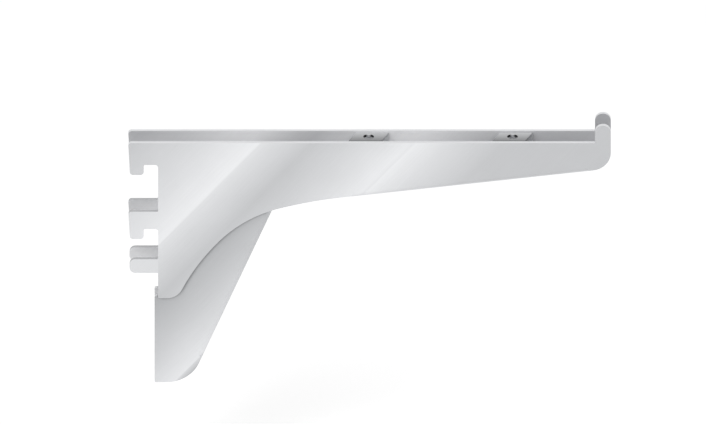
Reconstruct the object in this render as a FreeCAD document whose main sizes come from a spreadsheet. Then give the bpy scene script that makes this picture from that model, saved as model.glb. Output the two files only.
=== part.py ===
import FreeCAD, Part
import math
import os
from collections import namedtuple

import Sketcher

# Slotted shelf bracket for a wall rail with two columns of slots, in millimetres.
# X points away from the wall, with X = 0 on the front face of the rail.
# Y runs across the bracket, with Y = 0 midway between its two side walls.
# Z points up, with Z = 0 on the top edges that the shelf lies on.

# Driving dimensions: alias, value, meaning
DIMENSIONS = (
    ("sheet", 2.0, "thickness of the channel's steel sheet"),
    ("channel_gap", 11.2, "clear width between the side walls"),
    ("bend_inner_radius", 0.5, "inside radius of the folds in the channel and the gusset"),
    ("shelf_depth", 200.2, "rail face to the lip that stops the shelf"),
    ("lip_width", 7.2, "length of the front lip along the arm"),
    ("lip_height", 8.7, "height of the lip above the shelf seat"),
    ("lip_radius", 3.5, "rounding of the top of the lip"),
    ("lip_root_radius", 0.5, "rounding where the lip rises from the seat"),
    ("arm_depth_at_lip", 14.5, "depth of the folded lower edge below the seat at the lip"),
    ("fold_angle", 6.75, "rise of the folded lower edge, in degrees"),
    ("plain_edge_step", 0.9, "how far the plain edge beside the web stands above the fold"),
    ("nose_radius", 8.9, "rounding of the lower front corner"),
    ("wall_height", 77.5, "depth of the side walls below the seat"),
    ("wall_setback", 1.6, "rail face to the rear edge of the side walls"),
    ("heel_x", 10.3, "lower rear end of the side walls, before rounding"),
    ("heel_radius", 7.4, "rounding of the heel"),
    ("sweep_low_x", 19.2, "lower corner of the swept edge, from the rail face"),
    ("sweep_low_drop", 59.6, "lower corner of the swept edge, below the seat"),
    ("sweep_low_radius", 98.0, "radius of the lower part of the sweep"),
    ("sweep_high_x", 41.5, "upper corner of the swept edge, from the rail face"),
    ("sweep_high_drop", 36.5, "upper corner of the swept edge, below the seat"),
    ("sweep_high_radius", 58.0, "radius of the upper part of the sweep"),
    ("sweep_end_x", 73.1, "corner where the sweep meets the straight lower edge"),
    ("sweep_end_radius", 184.0, "radius of the last part of the sweep"),
    ("web_rear_margin", 7.3, "rear end of the arm's web to the rear screw hole's centre"),
    ("web_front_margin", 3.0, "lip to the front end of the web"),
    ("hook_reach", 12.0, "how far the hooks reach behind the rail face"),
    ("hook_lead_in", 0.8, "how much the hook's back edge leans towards its tip"),
    ("hook_tip_x", 4.9, "rail face to the inner edge of a hook's tip"),
    ("hook_seat_drop", 11.0, "seat of the upper hook's notch, below the shelf seat"),
    ("hook_pitch", 32.0, "pitch of the rail's slots, and of the hooks"),
    ("hook_tip_depth", 5.0, "how far a hook's tip hangs below its notch"),
    ("lower_hook_depth", 8.7, "depth of the lower hook above its notch"),
    ("hook_top_radius", 1.5, "rounding of a hook's upper back corner"),
    ("hook_tip_radius", 1.6, "rounding of a hook's tip"),
    ("notch_tip_radius", 0.6, "rounding in the notch beside the tip"),
    ("notch_wall_radius", 1.4, "rounding in the notch beside the wall"),
    ("tab_top_drop", 58.0, "top of the straight tab, below the seat"),
    ("tab_depth", 6.9, "height of the straight tab"),
    ("tab_reach", 11.4, "how far the straight tab reaches behind the rail face"),
    ("tab_end_radius", 2.7, "rounding of the straight tab's end"),
    ("small_radius", 0.5, "rounding of the other inner and outer corners"),
    ("gusset_sheet", 2.0, "thickness of the gusset's steel sheet"),
    ("weld_clearance", 0.05, "room between welded sheets, on each side"),
    ("gusset_drop", 120.4, "bottom of the gusset, below the seat"),
    ("gusset_top_drop", 14.0, "hidden top edge of the gusset, below the seat"),
    ("gusset_foot_x", 16.5, "where the gusset's fold line meets its bottom"),
    ("gusset_foot_radius", 16.0, "rounding of the lower front corner"),
    ("gusset_angle", 66.5, "rise of the gusset's folded front edge, in degrees"),
    ("foot_edge_step", 0.42, "how far the plain edge of the foot stands behind the fold"),
    ("gusset_step", 2.6, "how far the gusset steps forward inside the walls"),
    ("gusset_web_start", 13.5, "bottom of the gusset to its web, along the fold"),
    ("gusset_web_margin", 3.0, "web to the gusset's top edge, along the fold"),
    ("rear_screw_x", 97.3, "rail face to the rear screw hole"),
    ("screw_spacing", 65.4, "distance between the two screw holes"),
    ("screw_hole", 4.8, "diameter of the screw holes"),
    ("driver_hole", 8.0, "diameter of the driver holes in the web"),
    ("bridge_sheet", 1.2, "thickness of the screw bridges"),
    ("bridge_bend_radius", 0.3, "inside radius of a bridge's two folds"),
    ("bridge_length", 14.8, "length of a bridge along the arm"),
    ("bridge_skew", 4.1, "how far a bridge's ends lean over its width"),
    ("bridge_drop", 0.2, "top of a bridge below the seat"),
    ("bridge_flange", 8.0, "height of a bridge from its top to its flange edge"),
    ("cut_margin", 1.0, "how far a cut runs past the metal that it removes"),
)

FOLD_LINE_AT_LIP = "-sizes.arm_depth_at_lip"
HALF_GAP = "(sizes.channel_gap / 2)"
HALF_WIDTH = "(sizes.channel_gap / 2 + sizes.sheet)"
GUSSET_HALF_WIDTH = "(sizes.channel_gap / 2 - sizes.weld_clearance)"
BRIDGE_HALF_WIDTH = GUSSET_HALF_WIDTH

# A corner of an outline: its place, and its rounding if it has one
Corner = namedtuple("Corner", "x y radius", defaults=(None,))


def make_sheet(document):
    """The spreadsheet of driving dimensions."""
    sheet = document.addObject("Spreadsheet::Sheet", "sizes")
    for row, (alias, value, meaning) in enumerate(DIMENSIONS, start=1):
        sheet.set("A%d" % row, alias)
        sheet.set("B%d" % row, str(value))
        sheet.set("C%d" % row, meaning)
        sheet.setAlias("B%d" % row, alias)
    document.recompute()


def fold_line_z(x):
    """Height of the folded lower edge of the arm at a place along it."""
    return "(%s - (sizes.shelf_depth - (%s)) * tan(sizes.fold_angle))" % (FOLD_LINE_AT_LIP, x)


def beside_line(x, z, angle, distance):
    """The place at a distance above X, Z, square to a line that rises by the angle."""
    return "%s - %s * sin(%s)" % (x, distance, angle), "%s + %s * cos(%s)" % (z, distance, angle)


def plain_edge_z(x):
    """Height of the plain lower edge of the arm, beside its web, at a place along it."""
    return "(%s + sizes.plain_edge_step / cos(sizes.fold_angle))" % fold_line_z(x)


def web_ends():
    """Places along the arm where its web starts and ends."""
    rear = "(sizes.rear_screw_x - sizes.web_rear_margin)"
    front = "(sizes.shelf_depth - sizes.web_front_margin)"
    return rear, front


def add_body(document, label):
    body = document.addObject("PartDesign::Body", label)
    body.Label = label
    return body


def origin_feature(body, role):
    return next(item for item in body.Origin.OriginFeatures if item.Role == role)


def add_sketch(body, name, plane):
    sketch = body.newObject("Sketcher::SketchObject", name)
    sketch.AttachmentSupport = [(origin_feature(body, plane), "")]
    sketch.MapMode = "FlatFace"
    return sketch


def add_wall_sketch(body, name, distance):
    """A sketch of an upright sheet, whose plane lies at Y = -distance."""
    sketch = add_sketch(body, name, "XZ_Plane")
    sketch.setExpression(".AttachmentOffset.Base.z", distance)
    return sketch


def add_section_sketch(body, name, x, z, angle):
    """A sketch across the metal at X, Z, square to a line that rises by the angle."""
    sketch = add_sketch(body, name, "YZ_Plane")
    tilt = FreeCAD.Rotation(FreeCAD.Vector(-1, 0, 0), float(sketch.evalExpression(angle)))
    sketch.AttachmentOffset = FreeCAD.Placement(FreeCAD.Vector(), tilt)
    sketch.setExpression(".AttachmentOffset.Base.y", z)
    sketch.setExpression(".AttachmentOffset.Base.z", x)
    sketch.setExpression(".AttachmentOffset.Rotation.Angle", angle)
    return sketch


class Rounding:
    """The arc that rounds a corner between its two neighbours."""

    def __init__(self, before, corner, after, radius):
        arriving = (before - corner).normalize()
        leaving = (after - corner).normalize()
        half_angle = arriving.getAngle(leaving) / 2
        reach = radius / math.tan(half_angle)
        centre_way = (arriving + leaving).normalize()
        self.entry = corner + arriving * reach
        self.exit = corner + leaving * reach
        centre = corner + centre_way * (radius / math.sin(half_angle))
        turns_left = leaving.cross(arriving).z > 0
        start, end = (self.entry, self.exit) if turns_left else (self.exit, self.entry)
        start_angle = math.atan2(start.y - centre.y, start.x - centre.x)
        end_angle = math.atan2(end.y - centre.y, end.x - centre.x)
        if end_angle < start_angle:
            end_angle += 2 * math.pi
        circle = Part.Circle(centre, FreeCAD.Vector(0, 0, 1), radius)
        self.arc = Part.ArcOfCircle(circle, start_angle, end_angle)
        self.entry_end = 1 if turns_left else 2
        self.exit_end = 2 if turns_left else 1


class Outline:
    """Draws closed outlines of lines and tangent arcs, bound to the sheet."""

    def __init__(self, sketch):
        self.sketch = sketch

    def value(self, expression):
        return float(self.sketch.evalExpression(expression))

    def add_constraint(self, *details):
        return self.sketch.addConstraint(Sketcher.Constraint(*details))

    def bind(self, kind, details, expression):
        """A sized constraint whose size follows the expression."""
        index = self.add_constraint(kind, *details, self.value(expression))
        self.sketch.setExpression("Constraints[%d]" % index, expression)

    def place(self, geometry, end, corner):
        """Ties a point to its place, measured from the sketch's origin."""
        for kind, axis, expression in (("DistanceX", -2, corner.x), ("DistanceY", -1, corner.y)):
            if expression == "0":
                self.add_constraint("PointOnObject", geometry, end, axis)
            else:
                self.bind(kind, (-1, 1, geometry, end), expression)

    def polygon(self, corners):
        count = len(corners)
        points = [FreeCAD.Vector(self.value(corner.x), self.value(corner.y), 0) for corner in corners]
        roundings = []
        for index, corner in enumerate(corners):
            rounding = None
            if corner.radius is not None:
                after = points[(index + 1) % count]
                rounding = Rounding(points[index - 1], points[index], after, self.value(corner.radius))
            roundings.append(rounding)
        lines = []
        for index in range(count):
            following = (index + 1) % count
            start = roundings[index].exit if roundings[index] else points[index]
            end = roundings[following].entry if roundings[following] else points[following]
            lines.append(self.sketch.addGeometry(Part.LineSegment(start, end), False))
        for index, corner in enumerate(corners):
            arriving = lines[index - 1]
            leaving = lines[index]
            rounding = roundings[index]
            if rounding is None:
                self.add_constraint("Coincident", arriving, 2, leaving, 1)
                self.place(leaving, 1, corner)
                continue
            arc = self.sketch.addGeometry(rounding.arc, False)
            point = self.sketch.addGeometry(Part.Point(points[index]), True)
            self.add_constraint("Tangent", arriving, 2, arc, rounding.entry_end)
            self.add_constraint("Tangent", arc, rounding.exit_end, leaving, 1)
            self.add_constraint("PointOnObject", point, 1, arriving)
            self.add_constraint("PointOnObject", point, 1, leaving)
            self.bind("Radius", (arc,), corner.radius)
            self.place(point, 1, corner)

    def circle(self, x, y, diameter):
        centre = FreeCAD.Vector(self.value(x), self.value(y), 0)
        radius = self.value(diameter) / 2
        index = self.sketch.addGeometry(Part.Circle(centre, FreeCAD.Vector(0, 0, 1), radius), False)
        self.bind("Diameter", (index,), diameter)
        self.place(index, 3, Corner(x, y))


def add_pad(body, name, sketch, length):
    pad = body.newObject("PartDesign::Pad", name)
    pad.Profile = sketch
    pad.setExpression("Length", length)
    return pad


def add_cut(body, name, sketch, length=None):
    """Cuts along the sketch's normal for a length, or right through against it."""
    document = body.Document
    document.recompute()
    volume_before = body.Shape.Volume
    cut = body.newObject("PartDesign::Pocket", name)
    cut.Profile = sketch
    if length is None:
        cut.Type = "ThroughAll"
    else:
        cut.Reversed = True
        cut.setExpression("Length", length)
    document.recompute()
    if not cut.Shape.Volume < volume_before:
        raise RuntimeError("%s removes no metal" % name)
    return cut


def add_mirror(body, name):
    """Makes the other half of a body that is modelled as its near half."""
    body.Document.recompute()
    mirror = body.newObject("PartDesign::Mirrored", name)
    mirror.TransformMode = "Whole shape"
    mirror.MirrorPlane = (origin_feature(body, "XZ_Plane"), [""])
    body.Tip = mirror
    return mirror


def add_folded_web(body, prefix, x, z, angle, length, sheet, half_width):
    """Half of the web that joins two side sheets, with the fold along its edge.

    The fold line starts at X, Z and rises by the angle. The sheets' outer faces
    are half_width from the middle.
    """
    inner = "(%s - %s)" % (half_width, sheet)
    fold_radius = "(%s + sizes.bend_inner_radius)" % sheet
    above_fold = "(%s + %s)" % (fold_radius, sheet)

    web_sketch = add_section_sketch(body, prefix + "_web_section", x, z, angle)
    Outline(web_sketch).polygon((
        Corner("-%s" % half_width, "0"),
        Corner("0", "0"),
        Corner("0", sheet),
        Corner("-%s" % inner, sheet, "sizes.bend_inner_radius"),
        Corner("-%s" % inner, above_fold),
        Corner("-%s" % half_width, above_fold),
    ))
    add_pad(body, prefix + "_web", web_sketch, length)

    margin = "sizes.cut_margin"
    fold_sketch = add_section_sketch(body, prefix + "_fold_section", x, z, angle)
    Outline(fold_sketch).polygon((
        Corner("-%s - %s" % (half_width, margin), "-%s" % margin),
        Corner("-%s + %s + %s" % (half_width, fold_radius, margin), "-%s" % margin),
        Corner("-%s + %s + %s" % (half_width, fold_radius, margin), "0"),
        Corner("-%s" % half_width, "0", fold_radius),
        Corner("-%s" % half_width, "%s + %s" % (fold_radius, margin)),
        Corner("-%s - %s" % (half_width, margin), "%s + %s" % (fold_radius, margin)),
    ))
    add_cut(body, prefix + "_fold", fold_sketch, length)


def hook_corners(top_drop, notch_drop):
    """A hook from its notch, round its tip, to its top, in the outline's order."""
    tip_drop = "%s - sizes.hook_tip_depth" % notch_drop
    return [
        Corner("sizes.wall_setback", notch_drop, "sizes.notch_wall_radius"),
        Corner("-sizes.hook_tip_x", notch_drop, "sizes.notch_tip_radius"),
        Corner("-sizes.hook_tip_x", tip_drop, "sizes.hook_tip_radius"),
        Corner("-sizes.hook_reach + sizes.hook_lead_in", tip_drop, "sizes.hook_tip_radius"),
        Corner("-sizes.hook_reach", top_drop, "sizes.hook_top_radius"),
    ]


def wall_corners():
    """The outline of a side wall, from its heel forwards and round to the hooks."""
    front = "sizes.shelf_depth + sizes.lip_width"
    lower_notch = "-sizes.hook_seat_drop - sizes.hook_pitch"
    lower_hook_top = "%s + sizes.lower_hook_depth" % lower_notch
    tab_bottom = "-sizes.tab_top_drop - sizes.tab_depth"
    web_rear, web_front = (Corner(x, fold_line_z(x)) for x in web_ends())
    step_rear, step_front = (
        Corner(*beside_line(end.x, end.y, "sizes.fold_angle", "sizes.plain_edge_step"))
        for end in (web_rear, web_front))
    corners = [
        Corner("sizes.heel_x", "-sizes.wall_height", "sizes.heel_radius"),
        Corner("sizes.sweep_low_x", "-sizes.sweep_low_drop", "sizes.sweep_low_radius"),
        Corner("sizes.sweep_high_x", "-sizes.sweep_high_drop", "sizes.sweep_high_radius"),
        Corner("sizes.sweep_end_x", plain_edge_z("sizes.sweep_end_x"), "sizes.sweep_end_radius"),
        step_rear,
        web_rear,
        web_front,
        step_front,
        Corner(front, plain_edge_z(front), "sizes.nose_radius"),
        Corner(front, "sizes.lip_height", "sizes.lip_radius"),
        Corner("sizes.shelf_depth", "sizes.lip_height", "sizes.lip_radius"),
        Corner("sizes.shelf_depth", "0", "sizes.lip_root_radius"),
    ]
    corners += reversed(hook_corners("0", "-sizes.hook_seat_drop"))
    corners.append(Corner("sizes.wall_setback", lower_hook_top, "sizes.small_radius"))
    corners += reversed(hook_corners(lower_hook_top, lower_notch))
    corners += [
        Corner("sizes.wall_setback", "-sizes.tab_top_drop", "sizes.small_radius"),
        Corner("-sizes.tab_reach", "-sizes.tab_top_drop", "sizes.tab_end_radius"),
        Corner("-sizes.tab_reach", tab_bottom, "sizes.tab_end_radius"),
        Corner("sizes.wall_setback", tab_bottom, "sizes.small_radius"),
        Corner("sizes.wall_setback", "-sizes.wall_height", "sizes.small_radius"),
    ]
    return corners


def make_channel(document):
    """The arm: two side walls with hooks and lips, folded from one sheet."""
    body = add_body(document, "bracket_channel")
    wall_sketch = add_wall_sketch(body, "wall_outline", HALF_GAP)
    Outline(wall_sketch).polygon(wall_corners())
    add_pad(body, "side_wall", wall_sketch, "sizes.sheet")

    web_rear_x, web_front_x = web_ends()
    web_length = "(%s - %s) / cos(sizes.fold_angle)" % (web_front_x, web_rear_x)
    add_folded_web(
        body, "channel", web_rear_x, fold_line_z(web_rear_x), "sizes.fold_angle", web_length,
        "sizes.sheet", HALF_WIDTH)
    add_mirror(body, "both_walls")

    driver_sketch = add_sketch(body, "driver_hole_circles", "XY_Plane")
    for screw_x in screw_places():
        Outline(driver_sketch).circle(screw_x, "0", "sizes.driver_hole")
    add_cut(body, "driver_holes", driver_sketch)
    return body


def make_gusset(document):
    """The nested channel under the arm that rests against the rail."""
    body = add_body(document, "gusset_channel")
    inner_face = "%s - sizes.gusset_sheet" % GUSSET_HALF_WIDTH
    top_x = "sizes.gusset_foot_x + (sizes.gusset_drop - sizes.gusset_top_drop) / tan(sizes.gusset_angle)"
    start_x = "sizes.gusset_foot_x + sizes.gusset_web_start * cos(sizes.gusset_angle)"
    start_z = "-sizes.gusset_drop + sizes.gusset_web_start * sin(sizes.gusset_angle)"
    foot_x = "sizes.gusset_foot_x - sizes.foot_edge_step / sin(sizes.gusset_angle)"
    flange_sketch = add_wall_sketch(body, "flange_outline", inner_face)
    Outline(flange_sketch).polygon((
        Corner("0", "-sizes.gusset_drop", "sizes.small_radius"),
        Corner(foot_x, "-sizes.gusset_drop", "sizes.gusset_foot_radius"),
        Corner(*beside_line(start_x, start_z, "sizes.gusset_angle", "sizes.foot_edge_step")),
        Corner(start_x, start_z),
        Corner(top_x, "-sizes.gusset_top_drop"),
        Corner("sizes.gusset_step", "-sizes.gusset_top_drop", "sizes.small_radius"),
        Corner("sizes.gusset_step", "-sizes.wall_height"),
        Corner("0", "-sizes.wall_height", "sizes.small_radius"),
    ))
    add_pad(body, "gusset_flange", flange_sketch, "sizes.gusset_sheet")

    fold_length = "(sizes.gusset_drop - sizes.gusset_top_drop) / sin(sizes.gusset_angle)"
    web_length = "%s - sizes.gusset_web_start - sizes.gusset_web_margin" % fold_length
    add_folded_web(
        body, "gusset", start_x, start_z, "sizes.gusset_angle", web_length,
        "sizes.gusset_sheet", GUSSET_HALF_WIDTH)
    add_mirror(body, "both_flanges")
    return body


def screw_places():
    return ("sizes.rear_screw_x", "(sizes.rear_screw_x + sizes.screw_spacing)")


def make_bridge(document, label, screw_x):
    """A folded strip between the walls, with the hole for a shelf screw."""
    body = add_body(document, label)
    half_width = BRIDGE_HALF_WIDTH
    inner = "(%s - sizes.bridge_sheet)" % half_width
    top = "-sizes.bridge_drop"
    underside = "-sizes.bridge_drop - sizes.bridge_sheet"
    flange_edge = "-sizes.bridge_drop - sizes.bridge_flange"
    fold_radius = "sizes.bridge_sheet + sizes.bridge_bend_radius"
    whole_length = "(sizes.bridge_length + sizes.bridge_skew)"
    rear_x = "(%s - %s / 2)" % (screw_x, whole_length)
    front_x = "(%s + %s / 2)" % (screw_x, whole_length)
    margin = "sizes.cut_margin"

    section_sketch = add_sketch(body, label + "_section", "YZ_Plane")
    section_sketch.setExpression(".AttachmentOffset.Base.z", rear_x)
    Outline(section_sketch).polygon((
        Corner("-%s" % half_width, top, fold_radius),
        Corner("-%s" % half_width, flange_edge),
        Corner("-%s" % inner, flange_edge),
        Corner("-%s" % inner, underside, "sizes.bridge_bend_radius"),
        Corner(inner, underside, "sizes.bridge_bend_radius"),
        Corner(inner, flange_edge),
        Corner(half_width, flange_edge),
        Corner(half_width, top, fold_radius),
    ))
    add_pad(body, label + "_strip", section_sketch, whole_length)

    ends_sketch = add_sketch(body, label + "_end_outlines", "XY_Plane")
    outline = Outline(ends_sketch)
    outline.polygon((
        Corner(rear_x, "-%s" % half_width),
        Corner("%s + sizes.bridge_skew" % rear_x, half_width),
        Corner("%s - %s" % (rear_x, margin), half_width),
        Corner("%s - %s" % (rear_x, margin), "-%s" % half_width),
    ))
    outline.polygon((
        Corner("%s - sizes.bridge_skew" % front_x, "-%s" % half_width),
        Corner("%s + %s" % (front_x, margin), "-%s" % half_width),
        Corner("%s + %s" % (front_x, margin), half_width),
        Corner(front_x, half_width),
    ))
    add_cut(body, label + "_ends", ends_sketch)

    hole_sketch = add_sketch(body, label + "_hole_circle", "XY_Plane")
    Outline(hole_sketch).circle(screw_x, "0", "sizes.screw_hole")
    add_cut(body, label + "_hole", hole_sketch)
    return body


def check_document(document):
    for item in document.Objects:
        problems = [state for state in item.State if state in ("Invalid", "Error")]
        if problems:
            raise RuntimeError("%s is left %s" % (item.Name, ", ".join(problems)))


def write_parts(bodies):
    for body in bodies:
        if body.Shape.isNull() or not body.Shape.isValid():
            raise RuntimeError("%s has no valid shape" % body.Label)
    os.makedirs("parts", exist_ok=True)
    for body in bodies:
        body.Shape.exportStep("parts/%s.step" % body.Label)


def main():
    document = FreeCAD.newDocument("shelf_bracket")
    make_sheet(document)
    rear_screw_x, front_screw_x = screw_places()
    bodies = [
        make_channel(document),
        make_gusset(document),
        make_bridge(document, "rear_screw_bridge", rear_screw_x),
        make_bridge(document, "front_screw_bridge", front_screw_x),
    ]
    document.recompute()
    check_document(document)
    write_parts(bodies)


main()
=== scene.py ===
import math

import bmesh
import bpy
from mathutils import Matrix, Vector


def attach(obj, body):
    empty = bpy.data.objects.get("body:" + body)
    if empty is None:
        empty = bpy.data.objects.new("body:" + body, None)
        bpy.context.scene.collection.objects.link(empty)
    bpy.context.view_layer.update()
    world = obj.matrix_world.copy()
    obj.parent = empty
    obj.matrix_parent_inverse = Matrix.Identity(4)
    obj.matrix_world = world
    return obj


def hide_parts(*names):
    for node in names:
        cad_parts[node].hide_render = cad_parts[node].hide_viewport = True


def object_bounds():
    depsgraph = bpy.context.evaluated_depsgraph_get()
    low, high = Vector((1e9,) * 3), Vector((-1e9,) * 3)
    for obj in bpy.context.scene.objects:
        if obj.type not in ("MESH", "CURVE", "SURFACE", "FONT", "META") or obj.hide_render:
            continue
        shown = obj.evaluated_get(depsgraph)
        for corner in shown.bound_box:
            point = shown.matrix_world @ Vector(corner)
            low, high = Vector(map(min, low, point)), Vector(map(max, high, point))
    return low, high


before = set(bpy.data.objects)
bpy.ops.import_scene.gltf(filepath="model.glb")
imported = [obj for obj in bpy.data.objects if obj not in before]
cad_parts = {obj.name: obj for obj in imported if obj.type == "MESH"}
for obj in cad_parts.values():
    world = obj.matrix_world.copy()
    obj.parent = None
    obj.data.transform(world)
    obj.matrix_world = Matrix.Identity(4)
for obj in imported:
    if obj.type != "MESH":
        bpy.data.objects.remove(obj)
cad_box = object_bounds()

bl_info = {
    "name": "Slotted Shelf Bracket",
    "version": (1, 0, 0),
    "blender": (4, 5, 0),
    "location": "View3D > Sidebar > Shelf Bracket",
    "description": "Plated steel finish, floor, lamps and camera for a slotted shelf bracket",
    "category": "Object",
}

MM = 0.001
MAIN_BODY = "root"
WHITE = (1.0, 1.0, 1.0)

# The reference picture: its width and its scale in its own pixels, and the point at its middle
PICTURE_WIDTH = 706
PIXELS_PER_MM = 2.2
AIM_POINT = Vector((90.2, 0.0, -37.9)) * MM

# The nearest and the farthest that the camera sees, as shares of its distance
NEAREST = 0.1
FARTHEST = 10.0

# Each lamp's name, its place and the width of its disk, in metres
KEY_LAMP = ("key_lamp", (-0.9, -1.3, 1.6), 1.4)
FILL_LAMP = ("fill_lamp", (1.4, -0.6, 1.2), 1.2)

# Directions across and along the diagonal bands of painted reflection on the side walls, which the
# grain's lines follow too
ACROSS_BANDS = Vector((0.740, 0.0, -0.673))
ALONG_BANDS = Vector((0.673, 0.0, 0.740))

# Places of the bands of painted reflection, in mm along ACROSS_BANDS, and how bright each is from
# 0 to 1
ARM_REFLECTION_BANDS = (
    (-9.0, 0.0),
    (8.0, 0.29),
    (20.0, 0.54),
    (35.3, 0.95),
    (35.9, 0.64),
    (53.3, 0.0),
    (65.0, 0.27),
    (76.0, 0.57),
    (85.6, 0.847),
    (86.6, 0.815),
    (87.2, 0.70),
    (87.5, 0.767),
    (88.1, 0.94),
    (88.7, 0.845),
    (91.0, 0.767),
    (101.0, 0.42),
    (117.5, 0.0),
)
GUSSET_REFLECTION_BANDS = (
    (53.1, 0.0),
    (61.0, 0.184),
    (70.0, 0.417),
    (80.0, 0.739),
    (87.4, 1.0),
    (88.0, 0.66),
    (91.2, 0.0),
)

# The same on the faces that look inwards, on the arm, on the gusset and on the arm's ends: painted
# reflection bands, lifted as painted light inside the channel, and on the ends darkened as painted
# shade on the hooks and lips
ARM_INNER_REFLECTION_BANDS = (
    (-4.5, 0.15),
    (3.2, 0.385),
    (16.6, 0.715),
    (26.0, 0.89),
    (34.6, 1.0),
    (36.0, 1.0),
    (43.5, 0.69),
    (50.2, 0.46),
    (55.5, 0.345),
    (63.7, 0.59),
    (68.0, 0.75),
    (83.9, 1.0),
    (90.5, 1.0),
    (94.0, 0.93),
    (104.0, 0.71),
    (112.5, 0.58),
    (132.5, 0.36),
    (150.0, 0.195),
)
GUSSET_INNER_REFLECTION_BANDS = (
    (35.0, 0.75),
    (50.0, 0.86),
    (58.0, 0.86),
    (90.0, 0.65),
)
END_INNER_REFLECTION_AND_SHADE = (
    (17.3, 0.50),
    (25.4, 0.90),
    (34.0, 0.77),
    (40.7, 0.95),
    (100.0, 0.0),
)

# Where the arm's ends lie, in mm: hooks and tabs behind REAR_EDGE, lips above LIPS_BOTTOM
REAR_EDGE = 1.6
HOOKS_TOP = -20.0
TAB_TOP = -57.0
TAB_BOTTOM = -66.0
LIPS_BOTTOM = 0.4

# Even level of the painted reflection on the straight tabs, from 0 to 1, where their bands would
# be
TAB_REFLECTION_LEVEL = 0.56

# The way that the gusset's folded front looks
GUSSET_FRONT = Vector((0.917, 0.0, -0.399))

# The sheet's faces are told apart by the way that they look. These are from 0 to 1
# How far a face looks at the other wall before it counts as an inner one
INWARD = 0.5
# How far a face looks sideways where it is all cut edge, and where it is none
CUT_EDGE_SIDEWAYS = (0.55, 0.95)
# How far a face looks up where a ledge, which takes painted shade, begins, and where it is all
# ledge
LEDGE_UPWARD = (0.2, 0.7)
# How far a face looks away from the folded front where it is all fold, and where it is none
FOLD_APART = (0.02, 0.12)

# The screw bridges and their holes, in mm: half the bridges' width, the first hole's place,
# the distance between the holes and just over their radius
BRIDGE_REACH = 5.5
FIRST_HOLE = 97.3
HOLE_SPACING = 65.4
HOLE_REACH = 2.75
# How far a hole's wall looks along the arm, from 0 to 1, where its painted shade begins and
# where it is full
HOLE_SHADE_SIDES = (0.15, 0.5)

# How open a place beside the seam is, from 0 to 1, where the painted shadow of the arm's edge is
# darkest and where it ends
SEAM_SHADOW_OPENNESS = (0.55, 0.95)
# Heights between which that painted shadow fades out towards the gusset's foot, in mm
SEAM_SHADOW_FADE = (-95.0, -88.0)

# Grain of the polished sheet: how fine it is across its lines, along them and through the
# sheet, in steps per metre, then how rich and how rough its pattern is
GRAIN_FINENESS = (5200.0, 60.0, 1500.0)
GRAIN_DETAIL = 3.0
GRAIN_BREAKUP = 0.6
# Faint cloudiness, in the same terms
CLOUD_FINENESS = 45.0
CLOUD_DETAIL = 2.0
CLOUD_BREAKUP = 0.5
# The part of both patterns, from 0 to 1, over which they take effect
PATTERN_RANGE = (0.3, 0.7)
# The shares by which they change the tone and the roughness, up and down
GRAIN_TONE = 0.025
CLOUD_TONE = 0.015
GRAIN_ROUGHNESS = 0.12
# How deep the grain's lines are as a share of GRAIN_RELIEF, which is in mm, and how strongly
# they bend the light
GRAIN_DEPTH = 0.04
GRAIN_RELIEF = 0.02
GRAIN_BEND = 0.12

# How metallic the outer and the inner faces are, from 0 to 1
OUTER_METALLIC = 0.6
INNER_METALLIC = 0.05

# A copied mesh is cleaned first: points closer than WELD_DISTANCE become one, and so do faces
# that turn by less than FLAT_ANGLE. Edges sharper than CREASE_ANGLE are then rounded in steps
WELD_DISTANCE = 0.002 * MM
FLAT_ANGLE = math.radians(0.4)
CREASE_ANGLE = math.radians(32)
EDGE_STEPS = 2

# Kinds of socket
FLOAT = "NodeSocketFloat"
COLOUR = "NodeSocketColor"

# A Mix node has sockets for every kind of value. These are the ones for colours
MIX_COLOURS = (6, 7)
MIX_COLOUR_RESULT = 2

# Room from one node to the next in the editor
NODE_STEP = 190


def colour_setting(name, description, colour):
    return bpy.props.FloatVectorProperty(
        name=name, description=description, default=colour, size=3, min=0.0, max=1.0,
        subtype="COLOR")


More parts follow.
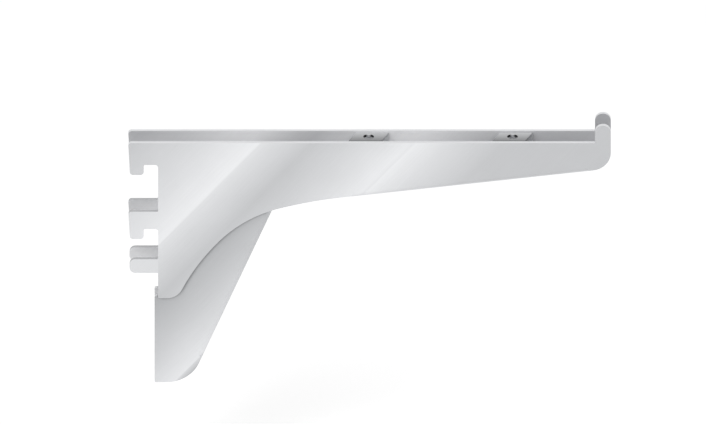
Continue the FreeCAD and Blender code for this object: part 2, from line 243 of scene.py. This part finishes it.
class FinishSettings(bpy.types.PropertyGroup):
    """Sizes and colours of the plated sheet steel, with its painted reflection bands and painted
    light and shade.
    """

    edge_break: bpy.props.FloatProperty(
        name="Edge break", description="Rounding of the cut edges of the sheet",
        default=0.16 * MM, min=0.0, subtype="DISTANCE", unit="LENGTH")
    roughness: bpy.props.FloatProperty(
        name="Roughness", description="Roughness of the plating",
        default=0.36, min=0.0, max=1.0, subtype="FACTOR")
    # Outside of the arm: painted reflection, dim between its bands and bright in them
    arm_reflection_dim: colour_setting(
        "Arm, dim", "Outside of the arm between its bright bands", (0.560, 0.567, 0.580))
    arm_reflection_bright: colour_setting(
        "Arm, bright", "Outside of the arm in its bright bands", (0.862, 0.870, 0.885))
    # Outside of the gusset: painted reflection bands, darker than the arm's tones as painted
    # shade, since it lies recessed under the arm
    gusset_shaded_reflection_dim: colour_setting(
        "Gusset, dim", "Outside of the gusset between its bright bands", (0.446, 0.453, 0.465))
    gusset_shaded_reflection_bright: colour_setting(
        "Gusset, bright", "Outside of the gusset in its bright bands", (0.800, 0.808, 0.823))
    # Faces that look inwards: painted reflection bands, lifted as painted light, with painted
    # shade on the hooks and lips
    inner_reflection_dim: colour_setting(
        "Inside, dim", "Faces that look inwards, between their bright bands",
        (0.488, 0.493, 0.512))
    inner_reflection_bright: colour_setting(
        "Inside, bright", "Faces that look inwards, in their bright bands",
        (0.985, 0.988, 1.000))
    edge_tone: colour_setting("Cut edges", "Cut edges of the sheet", (0.760, 0.768, 0.783))
    # Painted shade on the upper edges of the lower hooks and the tabs, which lie under the hooks
    # above them
    ledge_shade_tone: colour_setting(
        "Shaded Ledges", "Upper edges of the lower hooks and of the tabs", (0.470, 0.476, 0.486))
    # Screw bridges: painted shade, darkest on the near side under the near wall and lightest on
    # the far side
    bridge_shaded_side: colour_setting(
        "Screw bridges, dim", "Near side of the screw bridges", (0.168, 0.171, 0.177))
    bridge_lit_side: colour_setting(
        "Screw bridges, bright", "Far side of the screw bridges", (0.600, 0.608, 0.623))
    # Painted light that lifts the bridges' inward faces
    bridge_inner: colour_setting(
        "Screw bridges, inside", "Faces of the screw bridges that look inwards",
        (0.900, 0.905, 0.920))
    # Painted shade on the sides of the screw holes
    hole_shade_tone: colour_setting("Hole walls", "Sides of the screw holes", (0.015, 0.015, 0.017))
    # Painted shadow of the arm's edge on the gusset: how wide it is and how dark
    seam_shadow_width: bpy.props.FloatProperty(
        name="Seam width", description="Width of the dark seam between the arm and the gusset",
        default=2.2 * MM, min=0.0, subtype="DISTANCE", unit="LENGTH")
    seam_shadow_depth: bpy.props.FloatProperty(
        name="Seam depth", description="How dark that seam is",
        default=0.74, min=0.0, max=1.0, subtype="FACTOR")


class StageSettings(bpy.types.PropertyGroup):
    """Floor, lamps and camera."""

    azimuth: bpy.props.FloatProperty(
        name="Azimuth", description="Camera's turn round the bracket, towards its lip",
        default=0.0, subtype="ANGLE", unit="ROTATION")
    elevation: bpy.props.FloatProperty(
        name="Elevation", description="Camera's height above the horizon",
        default=math.radians(24.5), subtype="ANGLE", unit="ROTATION")
    distance: bpy.props.FloatProperty(
        name="Distance", description="Distance of the camera, whose rays are parallel",
        default=2.0, min=0.1, subtype="DISTANCE", unit="LENGTH")
    floor_gap: bpy.props.FloatProperty(
        name="Floor gap", description="Room between the gusset's foot and the floor",
        default=0.045, min=0.0, subtype="DISTANCE", unit="LENGTH")
    floor_size: bpy.props.FloatProperty(
        name="Floor size", description="Length of the floor's sides",
        default=30.0, min=1.0, subtype="DISTANCE", unit="LENGTH")
    floor_tone: bpy.props.FloatProperty(
        name="Floor tone", description="Lightness of the floor as other surfaces see it",
        default=0.86, min=0.0, max=1.0, subtype="FACTOR")
    floor_lift: bpy.props.FloatProperty(
        name="Floor lift", description="Light added to the floor as the camera sees it",
        default=0.32, min=0.0)
    sky_strength: bpy.props.FloatProperty(
        name="Sky", description="Strength of the even light from all round",
        default=0.48, min=0.0)
    key_power: bpy.props.FloatProperty(
        name="Key lamp", description="Power of the lamp on the rail's side",
        default=16.5, min=0.0, unit="POWER")
    fill_power: bpy.props.FloatProperty(
        name="Fill lamp", description="Power of the lamp on the lip's side",
        default=6.8, min=0.0, unit="POWER")


def link(piece):
    bpy.context.scene.collection.objects.link(piece)
    return piece


def rounded_copy(node, name, edge_break):
    """A copy of a node with its cut edges softened, which stands for that node."""
    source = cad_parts[node]
    shape = bmesh.new()
    shape.from_mesh(source.data)
    bmesh.ops.remove_doubles(shape, verts=shape.verts, dist=WELD_DISTANCE)
    bmesh.ops.dissolve_limit(
        shape, angle_limit=FLAT_ANGLE, verts=shape.verts, edges=shape.edges, delimit=set())
    for face in shape.faces:
        face.smooth = True
    mesh = bpy.data.meshes.new(name)
    shape.to_mesh(mesh)
    shape.free()
    piece = link(bpy.data.objects.new(name, mesh))

    softening = piece.modifiers.new("edge_break", "BEVEL")
    softening.width = edge_break
    softening.segments = EDGE_STEPS
    softening.limit_method = "ANGLE"
    softening.angle_limit = CREASE_ANGLE
    softening.use_clamp_overlap = True
    normals = piece.modifiers.new("flat_faces", "WEIGHTED_NORMAL")
    normals.keep_sharp = True
    return piece


def settle(piece, node, material):
    """Gives a piece its finish, and ties it to the body and node that it stands for."""
    piece.data.materials.clear()
    piece.data.materials.append(material)
    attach(piece, MAIN_BODY)
    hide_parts(node)


class Nodes:
    """Adds nodes to a tree and joins them, from left to right."""

    def __init__(self, tree):
        self.tree = tree
        self.column = 0

    def put(self, value, socket):
        """Joins an output to a socket, or writes a plain value into it."""
        if isinstance(value, bpy.types.NodeSocket):
            self.tree.links.new(value, socket)
        else:
            socket.default_value = value

    def add(self, kind, inputs=None, **values):
        node = self.tree.nodes.new(kind)
        node.location = (self.column * NODE_STEP, 0)
        self.column += 1
        for name, value in values.items():
            setattr(node, name, value)
        for name, value in (inputs or {}).items():
            self.put(value, node.inputs[name])
        return node

    def math(self, operation, *terms, **options):
        node = self.add(
            "ShaderNodeMath", dict(enumerate(terms)), operation=operation, **options)
        return node.outputs["Value"]

    def vector_math(self, operation, *terms, result="Vector"):
        node = self.add("ShaderNodeVectorMath", dict(enumerate(terms)), operation=operation)
        return node.outputs[result]

    def length(self, vector):
        return self.vector_math("LENGTH", vector, result="Value")

    def along(self, vector, direction):
        """How far a vector reaches in a direction."""
        return self.vector_math("DOT_PRODUCT", vector, direction, result="Value")

    def scale(self, vector, share):
        node = self.add("ShaderNodeVectorMath", {0: vector, "Scale": share}, operation="SCALE")
        return node.outputs["Vector"]

    def split(self, vector):
        """The parts of a vector, under X, Y and Z."""
        return self.add("ShaderNodeSeparateXYZ", {0: vector}).outputs

    def join(self, x=0.0, y=0.0, z=0.0):
        return self.add("ShaderNodeCombineXYZ", {"X": x, "Y": y, "Z": z}).outputs["Vector"]

    def spread(self, value, limits, start=0.0, end=1.0):
        """Goes evenly from start to end while the value goes from one limit to the other."""
        low, high = limits
        node = self.add("ShaderNodeMapRange", {
            "Value": value, "From Min": low, "From Max": high, "To Min": start, "To Max": end})
        return node.outputs["Result"]

    def sway(self, pattern, share):
        """A factor round 1, which a pattern raises and lowers by a share."""
        return self.spread(pattern, PATTERN_RANGE, 1.0 - share, 1.0 + share)

    def blend(self, share, first, second):
        node = self.add("ShaderNodeMix", {"Factor": share, "A": first, "B": second})
        return node.outputs["Result"]

    def blend_tones(self, share, first, second):
        """Mixes two colours, each a plain colour or a node's output."""
        node = self.add("ShaderNodeMix", {"Factor": share}, data_type="RGBA")
        for socket, tone in zip(MIX_COLOURS, (first, second)):
            if not isinstance(tone, bpy.types.NodeSocket):
                tone = (*tone, 1.0)
            self.put(tone, node.inputs[socket])
        return node.outputs[MIX_COLOUR_RESULT]

    def place(self):
        """Where a point lies on the piece, and the way that its face looks."""
        node = self.add("ShaderNodeTexCoord")
        return node.outputs["Object"], node.outputs["Normal"]

    def group(self, name, maker, *details):
        """Uses a shared node group, which the first material that needs it makes."""
        shared = bpy.data.node_groups.get(name) or maker(name, *details)
        return self.add("ShaderNodeGroup", node_tree=shared)


def start_group(name, outputs, inputs=()):
    group = bpy.data.node_groups.new(name, "ShaderNodeTree")
    for direction, sockets in (("INPUT", inputs), ("OUTPUT", outputs)):
        for socket_name, kind in sockets:
            group.interface.new_socket(socket_name, in_out=direction, socket_type=kind)
    return group, Nodes(group)


def make_reflection_band_group(name, stops):
    """Levels of painted reflection and shade from 0 to 1, in bands that are fixed to the metal."""
    group, nodes = start_group(name, (("Level", FLOAT),))
    point, _ = nodes.place()
    first, last = stops[0][0], stops[-1][0]
    share = nodes.spread(nodes.along(point, ACROSS_BANDS), (first * MM, last * MM))
    bands = nodes.add("ShaderNodeValToRGB", {"Fac": share})
    ramp = bands.color_ramp
    while len(ramp.elements) < len(stops):
        ramp.elements.new(0.5)
    for element, (stop, level) in zip(ramp.elements, stops):
        element.position = (stop - first) / (last - first)
        element.color = (level, level, level, 1.0)
    nodes.add("NodeGroupOutput", {"Level": bands.outputs["Color"]})
    return group


def make_ends_group(name):
    """Tells the arm's ends, which are its tabs, lower hooks and lips, from the rest of it: where
    the painted reflection is held even, and where painted shade falls on inward faces and ledges.
    """
    group, nodes = start_group(name, (("Tab", FLOAT), ("Ends", FLOAT), ("Shaded Ledges", FLOAT)))
    point, normal = nodes.place()
    parts = nodes.split(point)
    rear = nodes.math(
        "MULTIPLY",
        nodes.math("LESS_THAN", parts["X"], REAR_EDGE * MM),
        nodes.math("GREATER_THAN", parts["Z"], TAB_BOTTOM * MM))
    hooks, tab = (
        nodes.math("MULTIPLY", rear, nodes.math("LESS_THAN", parts["Z"], top * MM))
        for top in (HOOKS_TOP, TAB_TOP))
    lips = nodes.math("GREATER_THAN", parts["Z"], LIPS_BOTTOM * MM)
    upward = nodes.spread(nodes.split(normal)["Z"], LEDGE_UPWARD)
    nodes.add("NodeGroupOutput", {
        "Tab": tab, "Ends": nodes.math("MAXIMUM", hooks, lips),
        "Shaded Ledges": nodes.math("MULTIPLY", hooks, upward)})
    return group


def make_faces_group(name):
    """Tells the faces that look inwards and the cut edges from the rest of the sheet."""
    group, nodes = start_group(name, (("Inside", FLOAT), ("Cut Edge", FLOAT)))
    point, normal = nodes.place()
    side = nodes.math("SIGN", nodes.split(point)["Y"])
    facing = nodes.split(normal)["Y"]
    inside = nodes.math("LESS_THAN", nodes.math("MULTIPLY", facing, side), -INWARD)
    cut_edge = nodes.spread(nodes.math("ABSOLUTE", facing), CUT_EDGE_SIDEWAYS, 1.0, 0.0)
    nodes.add("NodeGroupOutput", {"Inside": inside, "Cut Edge": cut_edge})
    return group


def make_fold_group(name, front):
    """Tells the fold of a sheet, whose faces turn towards its folded front, from its cut edges."""
    group, nodes = start_group(name, (("Fold", FLOAT),))
    _, normal = nodes.place()
    forward = nodes.along(normal, front)
    turned = nodes.length(nodes.vector_math("MULTIPLY", normal, (1.0, 0.0, 1.0)))
    apart = nodes.math("SUBTRACT", turned, forward)
    nodes.add("NodeGroupOutput", {"Fold": nodes.spread(apart, FOLD_APART, 1.0, 0.0)})
    return group


def make_hole_shade_group(name):
    """Tells the sides of the screw holes, which take painted shade, from the rest of the bridges.
    """
    group, nodes = start_group(name, (("Hole", FLOAT),))
    point, _ = nodes.place()
    parts = nodes.split(point)
    half = HOLE_SPACING / 2 * MM
    ahead = nodes.math("SUBTRACT", parts["X"], FIRST_HOLE * MM)
    nearest = nodes.math("WRAP", ahead, half, -half)
    reach = nodes.length(nodes.join(nearest, parts["Y"]))
    nodes.add("NodeGroupOutput", {"Hole": nodes.math("LESS_THAN", reach, HOLE_REACH * MM)})
    return group


def make_grain_group(name):
    """Fine diagonal grain of the polished sheet, with faint cloudiness."""
    group, nodes = start_group(
        name,
        outputs=(("Color", COLOUR), ("Roughness", FLOAT), ("Height", FLOAT)),
        inputs=(("Color", COLOUR), ("Roughness", FLOAT), ("Depth", FLOAT)))
    given = nodes.add("NodeGroupInput")
    point, _ = nodes.place()
    turned = nodes.join(
        nodes.along(point, ACROSS_BANDS), nodes.along(point, ALONG_BANDS),
        nodes.split(point)["Y"])
    stretched = nodes.vector_math("MULTIPLY", turned, GRAIN_FINENESS)
    lines = nodes.add("ShaderNodeTexNoise", {
        "Vector": stretched, "Scale": 1.0, "Detail": GRAIN_DETAIL,
        "Roughness": GRAIN_BREAKUP}).outputs["Fac"]
    clouds = nodes.add("ShaderNodeTexNoise", {
        "Vector": point, "Scale": CLOUD_FINENESS, "Detail": CLOUD_DETAIL,
        "Roughness": CLOUD_BREAKUP}).outputs["Fac"]
    both = nodes.math(
        "MULTIPLY", nodes.sway(lines, GRAIN_TONE), nodes.sway(clouds, CLOUD_TONE))
    rough = nodes.math(
        "MULTIPLY", given.outputs["Roughness"], nodes.sway(lines, GRAIN_ROUGHNESS))
    nodes.add("NodeGroupOutput", {
        "Color": nodes.scale(given.outputs["Color"], both), "Roughness": rough,
        "Height": nodes.math("MULTIPLY", lines, given.outputs["Depth"])})
    return group


def start_nodes(owner):
    """An empty node tree for a material or a world."""
    owner.use_nodes = True
    owner.node_tree.nodes.clear()
    return Nodes(owner.node_tree)


def start_material(name):
    material = bpy.data.materials.new(name)
    return material, start_nodes(material)


def finish_plating(nodes, tone, roughness, inside=None):
    """The grain and the metal under a colour that the other nodes give."""
    grain = nodes.group("sheet_grain", make_grain_group)
    nodes.put(tone, grain.inputs["Color"])
    nodes.put(roughness, grain.inputs["Roughness"])
    nodes.put(GRAIN_DEPTH, grain.inputs["Depth"])
    bump = nodes.add("ShaderNodeBump", {
        "Height": grain.outputs["Height"], "Strength": GRAIN_BEND,
        "Distance": GRAIN_RELIEF * MM})
    steel = nodes.add("ShaderNodeBsdfPrincipled", {
        "Base Color": grain.outputs["Color"], "Roughness": grain.outputs["Roughness"],
        "Normal": bump.outputs["Normal"], "Metallic": OUTER_METALLIC})
    if inside is not None:
        metallic = nodes.spread(inside, (0.0, 1.0), OUTER_METALLIC, INNER_METALLIC)
        nodes.put(metallic, steel.inputs["Metallic"])
    nodes.add("ShaderNodeOutputMaterial", {"Surface": steel.outputs["BSDF"]})


def add_seam_shadow(nodes, tone, finish):
    """Paints the shadow of the arm's edge into a colour, darker where that edge lies close over
    the gusset.
    """
    nearness = nodes.add("ShaderNodeAmbientOcclusion", {"Distance": finish.seam_shadow_width})
    shade = nodes.spread(nearness.outputs["AO"], SEAM_SHADOW_OPENNESS, 1.0 - finish.seam_shadow_depth, 1.0)
    point, _ = nodes.place()
    low, high = SEAM_SHADOW_FADE
    fade = nodes.spread(nodes.split(point)["Z"], (low * MM, high * MM))
    return nodes.scale(tone, nodes.blend(fade, 1.0, shade))


def make_plating(name, finish, dim, bright, bands, inner_bands, front=None, seam_shadow=False):
    """Plated sheet steel: painted reflection bands on the sheet's faces, painted light and shade
    on its inward faces, ends and ledges, plainer on its cut edges, and a painted shadow along the
    seam if asked.
    """
    material, nodes = start_material(name)
    level = nodes.group(name + "_bands", make_reflection_band_group, bands).outputs["Level"]
    inner_level = nodes.group(
        name + "_inner_bands", make_reflection_band_group, inner_bands).outputs["Level"]
    end_level = nodes.group(
        "inner_end_bands", make_reflection_band_group, END_INNER_REFLECTION_AND_SHADE).outputs["Level"]
    ends = nodes.group("sheet_ends", make_ends_group).outputs
    faces = nodes.group("sheet_faces", make_faces_group).outputs

    # Outer faces: painted reflection bands, held at an even painted level on the tabs
    outer_tone = nodes.blend_tones(nodes.blend(ends["Tab"], level, TAB_REFLECTION_LEVEL), dim, bright)
    # Inward faces: painted reflection bands with painted light, and painted shade on the hooks and
    # lips
    inner_tone = nodes.blend_tones(
        nodes.blend(ends["Ends"], inner_level, end_level), finish.inner_reflection_dim,
        finish.inner_reflection_bright)
    face_tone = nodes.blend_tones(faces["Inside"], outer_tone, inner_tone)
    # Cut edges keep a plain tone, with painted shade on the ledges
    edge_tone = nodes.blend_tones(ends["Shaded Ledges"], finish.edge_tone, finish.ledge_shade_tone)
    cut_edge = faces["Cut Edge"]
    if front is not None:
        fold = nodes.group("front_fold", make_fold_group, front).outputs["Fold"]
        cut_edge = nodes.math("SUBTRACT", cut_edge, fold, use_clamp=True)
    tone = nodes.blend_tones(cut_edge, face_tone, edge_tone)
    # The gusset takes a painted shadow where the arm's edge lies over it
    if seam_shadow:
        tone = add_seam_shadow(nodes, tone, finish)
    finish_plating(nodes, tone, finish.roughness, faces["Inside"])
    return material


def make_bridge_plating(name, finish):
    """Plating of the screw bridges, with painted shade darkening their near side and the sides of
    their holes, and painted light on their inward faces.
    """
    material, nodes = start_material(name)
    point, normal = nodes.place()
    # Painted shade across the bridge, darker towards its near side
    across = nodes.spread(
        nodes.split(point)["Y"], (-BRIDGE_REACH * MM, BRIDGE_REACH * MM))
    top_tone = nodes.blend_tones(across, finish.bridge_shaded_side, finish.bridge_lit_side)
    inside = nodes.group("sheet_faces", make_faces_group).outputs["Inside"]
    # Painted light on the inward faces
    sheet_tone = nodes.blend_tones(inside, top_tone, finish.bridge_inner)
    # Painted shade, near black, on the sides of the holes
    lengthways = nodes.math("ABSOLUTE", nodes.split(normal)["X"])
    hole = nodes.group("screw_holes", make_hole_shade_group).outputs["Hole"]
    dark = nodes.spread(lengthways, HOLE_SHADE_SIDES, 0.0, hole)
    tone = nodes.blend_tones(dark, sheet_tone, finish.hole_shade_tone)
    finish_plating(nodes, tone, finish.roughness)
    return material


class BRACKET_OT_channel(bpy.types.Operator):
    """Finish the arm, folded from one sheet"""

    bl_idname = "bracket.channel"
    bl_label = "Arm"

    def execute(self, context):
        finish = context.scene.bracket_finish
        piece = rounded_copy("bracket_channel", "plated_arm", finish.edge_break)
        material = make_plating(
            "plated_arm_steel", finish, finish.arm_reflection_dim, finish.arm_reflection_bright,
            ARM_REFLECTION_BANDS, ARM_INNER_REFLECTION_BANDS)
        settle(piece, "bracket_channel", material)
        return {"FINISHED"}


class BRACKET_OT_gusset(bpy.types.Operator):
    """Finish the gusset nested under the arm"""

    bl_idname = "bracket.gusset"
    bl_label = "Gusset"

    def execute(self, context):
        finish = context.scene.bracket_finish
        piece = rounded_copy("gusset_channel", "plated_gusset", finish.edge_break)
        material = make_plating(
            "plated_gusset_steel", finish, finish.gusset_shaded_reflection_dim, finish.gusset_shaded_reflection_bright,
            GUSSET_REFLECTION_BANDS, GUSSET_INNER_REFLECTION_BANDS, front=GUSSET_FRONT, seam_shadow=True)
        settle(piece, "gusset_channel", material)
        return {"FINISHED"}


class BRACKET_OT_bridges(bpy.types.Operator):
    """Finish both screw bridges"""

    bl_idname = "bracket.bridges"
    bl_label = "Screw bridges"

    def execute(self, context):
        finish = context.scene.bracket_finish
        material = make_bridge_plating("plated_bridge_steel", finish)
        for node in ("rear_screw_bridge", "front_screw_bridge"):
            piece = rounded_copy(node, "plated_" + node, finish.edge_break)
            settle(piece, node, material)
        return {"FINISHED"}


def add_seen(nodes):
    """1 where the camera or a reflection looks at a surface, and 0 where light falls on it."""
    path = nodes.add("ShaderNodeLightPath").outputs
    return nodes.math("MAXIMUM", path["Is Camera Ray"], path["Is Glossy Ray"])


def make_floor(stage):
    """A pale floor that looks white to the camera and still takes a shadow."""
    low, _ = cad_box
    height = low.z - stage.floor_gap
    half = stage.floor_size / 2
    mesh = bpy.data.meshes.new("floor")
    corners = [(-half, -half), (half, -half), (half, half), (-half, half)]
    mesh.from_pydata([(x, y, height) for x, y in corners], [], [(0, 1, 2, 3)])
    floor = link(bpy.data.objects.new("floor", mesh))

    material, nodes = start_material("pale_floor")
    seen = add_seen(nodes)
    tone = nodes.blend_tones(seen, (stage.floor_tone,) * 3, WHITE)
    matt = nodes.add("ShaderNodeBsdfDiffuse", {"Color": tone})
    lift = nodes.math("MULTIPLY", seen, stage.floor_lift)
    glow = nodes.add("ShaderNodeEmission", {"Strength": lift})
    both = nodes.add(
        "ShaderNodeAddShader", {0: matt.outputs["BSDF"], 1: glow.outputs["Emission"]})
    nodes.add("ShaderNodeOutputMaterial", {"Surface": both.outputs["Shader"]})
    mesh.materials.append(material)


def make_sky(stage):
    """Even light from all round, which looks white behind the floor."""
    world = bpy.data.worlds.new("studio")
    bpy.context.scene.world = world
    nodes = start_nodes(world)
    strength = nodes.blend(add_seen(nodes), stage.sky_strength, 1.0)
    light = nodes.add("ShaderNodeBackground", {"Color": (*WHITE, 1.0), "Strength": strength})
    nodes.add("ShaderNodeOutputWorld", {"Surface": light.outputs["Background"]})


def make_lamp(name, place, width, power):
    """A round lamp that looks at the middle of the picture."""
    lamp = bpy.data.lights.new(name, "AREA")
    lamp.shape = "DISK"
    lamp.size = width
    lamp.energy = power
    holder = link(bpy.data.objects.new(name, lamp))
    holder.location = place
    holder.rotation_euler = (AIM_POINT - Vector(place)).to_track_quat("-Z", "Y").to_euler()


def make_camera(stage):
    """A camera with parallel rays, which sees as much as the reference picture shows."""
    camera = bpy.data.cameras.new("picture_camera")
    camera.type = "ORTHO"
    camera.ortho_scale = PICTURE_WIDTH / PIXELS_PER_MM * MM
    back = Vector((
        math.sin(stage.azimuth) * math.cos(stage.elevation),
        -math.cos(stage.azimuth) * math.cos(stage.elevation),
        math.sin(stage.elevation)))
    holder = link(bpy.data.objects.new("picture_camera", camera))
    holder.location = AIM_POINT + back * stage.distance
    holder.rotation_euler = (-back).to_track_quat("-Z", "Y").to_euler()
    camera.clip_start = stage.distance * NEAREST
    camera.clip_end = stage.distance * FARTHEST
    bpy.context.scene.camera = holder


class BRACKET_OT_stage(bpy.types.Operator):
    """Make the floor, the lamps and the camera"""

    bl_idname = "bracket.stage"
    bl_label = "Stage"

    def execute(self, context):
        stage = context.scene.bracket_stage
        make_floor(stage)
        make_sky(stage)
        make_lamp(*KEY_LAMP, stage.key_power)
        make_lamp(*FILL_LAMP, stage.fill_power)
        make_camera(stage)
        context.scene.view_settings.view_transform = "Standard"
        return {"FINISHED"}


class BRACKET_PT_panel(bpy.types.Panel):
    """Steps and settings of the shelf bracket"""

    bl_label = "Shelf Bracket"
    bl_idname = "BRACKET_PT_panel"
    bl_space_type = "VIEW_3D"
    bl_region_type = "UI"
    bl_category = "Shelf Bracket"

    def draw(self, context):
        layout = self.layout
        for step in OPERATORS:
            layout.operator(step.bl_idname)
        for settings in (context.scene.bracket_finish, context.scene.bracket_stage):
            box = layout.box()
            for name in type(settings).__annotations__:
                box.prop(settings, name)


OPERATORS = (BRACKET_OT_channel, BRACKET_OT_gusset, BRACKET_OT_bridges, BRACKET_OT_stage)
CLASSES = (FinishSettings, StageSettings, *OPERATORS, BRACKET_PT_panel)


def register():
    for item in CLASSES:
        bpy.utils.register_class(item)
    bpy.types.Scene.bracket_finish = bpy.props.PointerProperty(type=FinishSettings)
    bpy.types.Scene.bracket_stage = bpy.props.PointerProperty(type=StageSettings)


def unregister():
    del bpy.types.Scene.bracket_stage
    del bpy.types.Scene.bracket_finish
    for item in reversed(CLASSES):
        bpy.utils.unregister_class(item)


def main():
    register()
    bpy.ops.bracket.channel()
    bpy.ops.bracket.gusset()
    bpy.ops.bracket.bridges()
    bpy.ops.bracket.stage()


if __name__ == "__main__":
    main()
